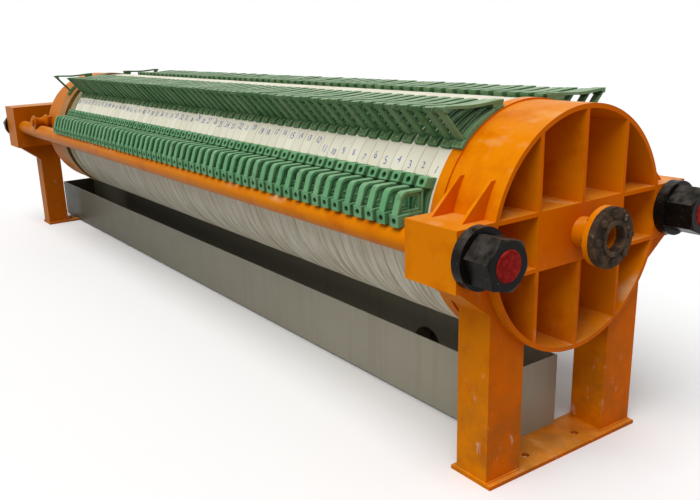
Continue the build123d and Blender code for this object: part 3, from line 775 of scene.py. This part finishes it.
def side_handle(seat):
    """Casting at station 0 on a rim of radius seat, on the far side."""
    bm = bmesh.new()
    strap_outer = seat + STRAP_REACH
    bend = ROD_OFFSET + BEND_OVERHANG
    shoe_outer = ROD_OFFSET + SHOE_OVERHANG
    shoe_inner = shoe_outer - SHOE_WIDTH
    shoe_low = ROD_RISE + ROD_RADIUS - SHOE_HOOK
    shoe_high = shoe_low + SHOE_HEIGHT
    slope = (shoe_outer - bend) / (BAR_LEVEL - shoe_high)

    def inside_bar(depth, height):
        """Offset of a point that lies depth inside the leaning bar, at a height."""
        return bend + slope * (BAR_LEVEL - height) - depth * math.hypot(1, slope)

    def along_rim(high):
        """Points up the rim from the strap's low end to a height."""
        rise = (high - STRAP_LOW) / STRAP_STEPS
        return [at_height(seat, STRAP_LOW + rise * i) for i in range(STRAP_STEPS + 1)]

    web_top = BAR_LEVEL - WEB_COVER
    web = [(*point, 0) for point in along_rim(web_top)]
    web += [(bend, web_top, BEND_RADIUS), (shoe_outer - SHOE_LAP, shoe_high, 0)]
    web += [(shoe_inner, shoe_high - SHOE_LAP, 0), (strap_outer, shoe_high - 2 * SHOE_LAP, 0)]
    window_high, window_low = BAR_LEVEL - WEB_RING, shoe_high + WINDOW_RISE
    window = [
        (strap_outer + WINDOW_INSET, window_high, 8 * MM),
        (inside_bar(WEB_RING, window_high), window_high, 12 * MM),
        (inside_bar(WEB_RING, window_low), window_low, 6 * MM),
        (strap_outer + WINDOW_INSET, window_low, 7 * MM),
    ]
    slot = [
        (at_height(seat, SLOT_HIGH)[0] + 12 * MM, SLOT_HIGH, 3 * MM),
        (strap_outer - 12 * MM, SLOT_HIGH, 4 * MM),
        (strap_outer - 11 * MM, SLOT_LOW, 2 * MM),
        (at_height(seat, SLOT_LOW)[0] + 10 * MM, SLOT_LOW, 2 * MM),
    ]
    prism(bm, [rounded(web), rounded(window), rounded(slot, 3)], WEB_HALF, FINE_BEVEL)

    bar_low = BAR_LEVEL - SIDE_BAR
    flange_start = strap_outer - STRAP_LAP
    flange_end = shoe_high - LAP
    flange = [
        (flange_start, BAR_LEVEL, 0),
        (bend, BAR_LEVEL, BEND_RADIUS),
        (shoe_outer, flange_end, 0),
        (inside_bar(SIDE_BAR, flange_end), flange_end, 0),
        (inside_bar(SIDE_BAR, bar_low), bar_low, BEND_RADIUS - SIDE_BAR),
        (flange_start, bar_low, 0),
    ]
    prism(bm, [rounded(flange, 6)], FLANGE_HALF, CASTING_BEVEL)

    def upright(inner, outer, top, half_width):
        """Block that stands on the sill's underside, between two offsets."""
        low = shoe_high - SILL_DEPTH
        prism(bm, [[(inner, low), (outer, low), (outer, top), (inner, top)]], half_width, CASTING_BEVEL)

    upright(strap_outer - STRIP_THICKNESS, strap_outer, BAR_LEVEL - LAP, STRIP_HALF)
    upright(strap_outer - SILL_LAP, shoe_inner + SHOE_LAP, shoe_high - LAP, SILL_HALF)
    back = along_rim(STRAP_HIGH)
    back += [(offset + BACK_THICKNESS, height) for offset, height in reversed(back)]
    prism(bm, [back], BACK_HALF, CASTING_BEVEL)

    pad = [
        (strap_outer - PAD_FOOT_INSET, BAR_LEVEL + PAD_FOOT_RISE),
        (strap_outer - PAD_INSET, PAD_LEVEL),
        at_height(seat, STRAP_HIGH),
        at_height(seat, BAR_LEVEL - PAD_ROOT_DROP),
    ]
    drilled_block(bm, pad, BLOCK_HALF, HOLE_RADIUS, HOLE_DEPTH)
    shoe = [(shoe_outer, shoe_low), (shoe_outer, shoe_high), (shoe_inner, shoe_high)]
    shoe += [at_rod(shoe_inner + place) for place in SADDLE_PLACES]
    shoe += [(shoe_inner + HOOK_PLACE, shoe_low)]
    drilled_block(bm, shoe, BLOCK_HALF, HOLE_RADIUS, HOLE_DEPTH)
    return bm


# Rows of handles on the plates, and a pair on the head's disc and on the follower's

UPPER_WOBBLE = 0.008
SIDE_WOBBLE = 0.004

upper = upper_handle(PLATE_RADIUS + FIT)
side = side_handle(PLATE_RADIUS + FIT)
bolts = foot_bolts(PLATE_RADIUS + FIT)
GREEN = FINISHES["green_casting"]
for side_name, sign in SIDES:
    row = repeated(mirrored(upper, sign), PLATE_CENTRES, UPPER_WOBBLE)
    replaced = f"upper_handles_{side_name}"
    piece(f"upper_loops_{side_name}", row, LOOP_GREEN, stands_for=replaced)
    row = repeated(mirrored(side, sign), PLATE_CENTRES, SIDE_WOBBLE)
    replaced = f"side_handles_{side_name}"
    piece(f"side_brackets_{side_name}", row, GREEN, stands_for=replaced)
    row = repeated(mirrored(bolts, sign), PLATE_CENTRES)
    piece(f"foot_bolts_{side_name}", row, DULL_BOLT)

disc_loop = upper_handle(DISC_RADIUS + FIT)
disc_bolts = foot_bolts(DISC_RADIUS + FIT)
for end, body in (("head", "frame"), ("follower", "follower")):
    station = middle(f"{end}_handles").x
    loops = joined([repeated(mirrored(disc_loop, sign), [station]) for _, sign in SIDES])
    heads = joined([repeated(mirrored(disc_bolts, sign), [station]) for _, sign in SIDES])
    piece(f"{end}_loops", loops, LOOP_GREEN, body, f"{end}_handles")
    piece(f"{end}_loop_bolts", heads, DULL_BOLT, body)


# Plates: eased rims, each a little different, and low down a little slack

PLATE_STEPS = 96
RIM_EASE = 1.6 * MM
FACE_BAND = 14 * MM
PLATE_SLACK = 2.5 * MM
PLATE_TRIM = 0.8 * MM
SAG_POWER = 0.7


def plate_pack():
    """All plates, each a ring from its rim round to its feed eye."""
    bm = bmesh.new()
    half = PLATE_THICKNESS / 2
    tail_side = ((-half, FACE_BAND), (-half, RIM_EASE), (RIM_EASE - half, 0.0))
    profile = tail_side + tuple((-along, depth) for along, depth in reversed(tail_side))
    turns = circle(PLATE_STEPS)
    for station in PLATE_CENTRES:
        slack = random.uniform(0.0, PLATE_SLACK)
        radius = PLATE_RADIUS - random.uniform(0.0, PLATE_TRIM)
        rings = []
        for along, depth in profile:
            ring = []
            for cosine, sine in turns:
                reach = radius - depth - slack * max(0.0, -sine) ** SAG_POWER
                ring.append(bm.verts.new((station + along, reach * cosine, AXIS_Z + reach * sine)))
            rings.append(ring)
        for along in (half, -half):
            eye = [(PLATE_EYE_RADIUS * cosine, PLATE_EYE_RADIUS * sine) for cosine, sine in turns]
            rings.append([bm.verts.new((station + along, y, AXIS_Z + rise)) for y, rise in eye])
        skin(bm, rings + rings[:1])
    return bm


piece("plate_pack", plate_pack(), FINISHES["filter_plate"], stands_for="filter_plates")


# Plate numbers marked by hand above the near side handles, the first few lower down

LOW_NUMBERS = 11
NUMBER_ANGLES = (30.0, 35.0)
NUMBER_HEIGHT = 38 * MM
NUMBER_WIDTH_SHARE = 0.8
NUMBER_SLANT = 0.25
INK_PROUD = 0.2 * MM


def plate_numbers():
    """A number on each plate's rim, no two of one size, slant or height."""
    bm = bmesh.new()
    radius = PLATE_RADIUS + INK_PROUD
    for count, station in enumerate(PLATE_CENTRES, 1):
        curve = bpy.data.curves.new("number", "FONT")
        curve.body = str(count)
        curve.align_x = "CENTER"
        curve.resolution_u = 2
        curve.size = NUMBER_HEIGHT * random.uniform(0.9, 1.25)
        writing = bpy.data.objects.new("number", curve)
        mesh = bpy.data.meshes.new_from_object(writing)
        first = len(bm.verts)
        bm.from_mesh(mesh)
        bm.verts.ensure_lookup_table()
        slant = Matrix.Rotation(random.uniform(-NUMBER_SLANT, NUMBER_SLANT), 2)
        lift = random.uniform(-6.0, 10.0) * MM
        base_angle = math.radians(NUMBER_ANGLES[count > LOW_NUMBERS])
        for vert in bm.verts[first:]:
            flat = slant @ Vector((vert.co.x * NUMBER_WIDTH_SHARE, vert.co.y))
            angle = base_angle + (flat.y + lift) / PLATE_RADIUS
            vert.co = (station + flat.x, -radius * math.cos(angle), AXIS_Z + radius * math.sin(angle))
        bpy.data.objects.remove(writing)
        bpy.data.curves.remove(curve)
        bpy.data.meshes.remove(mesh)
    return bm


piece("plate_numbers", plate_numbers(), MARKER)


# Flange bolts

FLANGE_BOLTS = 8
FLANGE_BOLT_CIRCLE = 160 * MM
FLANGE_THICKNESS = 20 * MM
COUNTER_FLANGE_THICKNESS = 22 * MM
FLANGE_BOLT_RADIUS = 14 * MM
FLANGE_BOLT_HEIGHT = 11 * MM


def flange_bolts():
    """Bolt heads on both sides of the feed's flange pair."""
    bm = bmesh.new()
    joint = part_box("feed_counter_flange")[0].x
    for cosine, sine in circle(FLANGE_BOLTS):
        y = FLANGE_BOLT_CIRCLE / 2 * cosine
        z = AXIS_Z + FLANGE_BOLT_CIRCLE / 2 * sine
        for direction, thickness in ((-1, FLANGE_THICKNESS), (1, COUNTER_FLANGE_THICKNESS)):
            seat = Vector((joint + direction * thickness, y, z))
            bolt(bm, seat, Vector((direction, 0, 0)), FLANGE_BOLT_RADIUS, FLANGE_BOLT_HEIGHT)
    return bm


piece("flange_bolts", flange_bolts(), FINISHES["rusty_steel"])


# Push-on cap that closes the trough's drain

CAP_STEPS = 40
CAP_SLEEVE = 18 * MM
CAP_WALL = 4 * MM
CAP_FLAT_SHARE = 0.6


def drain_cap():
    """Sleeve on the pipe's outer end with a domed lid."""
    bm = bmesh.new()
    centre = middle("trough_drain")
    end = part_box("trough_drain")[1].y
    bore = half_size("trough_drain").x + FIT
    profile = (
        (FIT, bore),
        (-CAP_SLEEVE, bore),
        (-CAP_SLEEVE, bore + CAP_WALL),
        (0.0, bore + CAP_WALL),
        (CAP_WALL, bore),
        (2 * CAP_WALL, CAP_FLAT_SHARE * bore),
    )
    rings = []
    for along, radius in profile:
        around = [(radius * cosine, radius * sine) for cosine, sine in circle(CAP_STEPS)]
        rings.append([bm.verts.new((centre.x + x, end + along, centre.z + z)) for x, z in around])
    skin(bm, rings)
    bm.faces.new(rings[0])
    bm.faces.new(rings[-1])
    return bm


piece("drain_cap", drain_cap(), FINISHES["rusty_steel"])


# Weld beads round the feet of the legs

BEAD_RADIUS = 5 * MM
BEAD_STEP = 7 * MM
BEAD_SIDES = 6
LEG_FROM_EDGE = 5 * MM
LEG_WIDTH = 160 * MM


def bead(bm, corners):
    """Rippled closed bead along straight runs between corners."""
    path = []
    for start, end in closed_pairs(corners):
        count = max(1, round((end - start).length / BEAD_STEP))
        path += [start.lerp(end, i / count) for i in range(count)]
    up = Vector((0, 0, 1))
    rings = []
    for i, point in enumerate(path):
        along = (path[(i + 1) % len(path)] - path[i - 1]).normalized()
        across = along.cross(up).normalized()
        swell = BEAD_RADIUS * random.uniform(0.8, 1.15)
        swings = [across * cosine + up * sine for cosine, sine in circle(BEAD_SIDES)]
        rings.append([bm.verts.new(point + swing * swell) for swing in swings])
    skin(bm, rings[-1:] + rings)


def foot_beads(end):
    """Beads round both legs on the base plate of the head or the tail."""
    bm = bmesh.new()
    plate_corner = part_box(f"{end}_base_plate")[1]
    half_depth = half_size(f"{end}_leg_near").x
    outer = plate_corner.y - LEG_FROM_EDGE
    inner = outer - LEG_WIDTH
    for side_name, sign in SIDES:
        x = middle(f"{end}_leg_{side_name}").x
        back, front = x - half_depth, x + half_depth
        foot = ((back, inner), (front, inner), (front, outer), (back, outer))
        bead(bm, [Vector((place, sign * offset, plate_corner.z)) for place, offset in foot])
    return bm


for end in ("head", "tail"):
    piece(f"{end}_foot_beads", foot_beads(end), FINISHES["orange_paint"], sharp_angle=180)


# Floor, light and camera

FLOOR_SIZE = 600.0
FLOOR_SEEN = 0.97
FLOOR_BOUNCE = 0.4
SKY_LIGHT = 0.4
SKY_SEEN = 1.0
SUN_LIGHT = 2.4
SUN_FROM = Vector((0.2, -0.5, 0.95))
SUN_ANGLE = 50

# Photograph's frame in pixels, and its camera as fitted to the modelled sizes
IMAGE_WIDTH = 700
IMAGE_HEIGHT = 500
FOCAL_PIXELS = 788.6
CENTRE_PIXEL = (304.3, 266.7)
SENSOR_MM = 36.0
CAMERA_FROM_HEAD = Vector((1.6104, -2.1175, 0.6762))
CAMERA_YAW = 0.5698
CAMERA_PITCH = 0.2933
CAMERA_ROLL = -0.0450
CAMERA_REACH = 1000.0


def seen_straight(tree):
    """1 for rays that show the surroundings: from the camera, in a reflection or through glass."""
    path = tree.nodes.new("ShaderNodeLightPath")
    total = path.outputs["Is Camera Ray"]
    for name in ("Is Glossy Ray", "Is Transmission Ray"):
        most = tree.nodes.new("ShaderNodeMath")
        most.operation = "MAXIMUM"
        tree.links.new(total, most.inputs[0])
        tree.links.new(path.outputs[name], most.inputs[1])
        total = most.outputs["Value"]
    return total


def add_floor():
    bpy.ops.mesh.primitive_plane_add(size=FLOOR_SIZE)
    floor = bpy.context.object
    floor.name = "floor"
    shade = Shader("floor_pale", roughness=0.9, specular=0.0)
    shade.finish(shade.mix(seen_straight(shade.tree), (FLOOR_BOUNCE,) * 3, (FLOOR_SEEN,) * 3))
    floor.data.materials.append(shade.material)


def add_world():
    world = bpy.data.worlds.new("studio")
    bpy.context.scene.world = world
    world.use_nodes = True
    tree = world.node_tree
    choice = tree.nodes.new("ShaderNodeMixShader")
    tree.links.new(seen_straight(tree), choice.inputs["Fac"])
    lighting = tree.nodes["Background"]
    shown = tree.nodes.new("ShaderNodeBackground")
    for i, (sky, strength) in enumerate(((lighting, SKY_LIGHT), (shown, SKY_SEEN)), 1):
        sky.inputs["Color"].default_value = (1.0, 1.0, 1.0, 1.0)
        sky.inputs["Strength"].default_value = strength
        tree.links.new(sky.outputs["Background"], choice.inputs[i])
    tree.links.new(choice.outputs["Shader"], tree.nodes["World Output"].inputs["Surface"])


def add_sun():
    lamp = bpy.data.lights.new("sun", "SUN")
    lamp.energy = SUN_LIGHT
    lamp.angle = math.radians(SUN_ANGLE)
    sun = bpy.data.objects.new("sun", lamp)
    sun.rotation_euler = SUN_FROM.to_track_quat("Z", "Y").to_euler()
    bpy.context.scene.collection.objects.link(sun)


def add_camera():
    level = math.cos(CAMERA_PITCH)
    forward = Vector((-math.cos(CAMERA_YAW) * level, math.sin(CAMERA_YAW) * level, -math.sin(CAMERA_PITCH)))
    right = forward.cross(Vector((0, 0, 1))).normalized()
    up = right.cross(forward)
    rolled_right = right * math.cos(CAMERA_ROLL) + up * math.sin(CAMERA_ROLL)
    rolled_up = up * math.cos(CAMERA_ROLL) - right * math.sin(CAMERA_ROLL)
    data = bpy.data.cameras.new("camera")
    data.sensor_width = SENSOR_MM
    data.lens = FOCAL_PIXELS / IMAGE_WIDTH * SENSOR_MM
    data.shift_x = (IMAGE_WIDTH / 2 - CENTRE_PIXEL[0]) / IMAGE_WIDTH
    data.shift_y = (CENTRE_PIXEL[1] - IMAGE_HEIGHT / 2) / IMAGE_WIDTH
    data.clip_end = CAMERA_REACH
    camera = bpy.data.objects.new("camera", data)
    turn = Matrix((rolled_right, rolled_up, -forward)).transposed().to_4x4()
    place = Vector((HEAD_FRONT_X, 0, AXIS_Z)) + CAMERA_FROM_HEAD
    camera.matrix_world = Matrix.Translation(place) @ turn
    bpy.context.scene.collection.objects.link(camera)
    bpy.context.scene.camera = camera


add_floor()
add_world()
add_sun()
add_camera()
bpy.context.scene.view_settings.view_transform = "Standard"
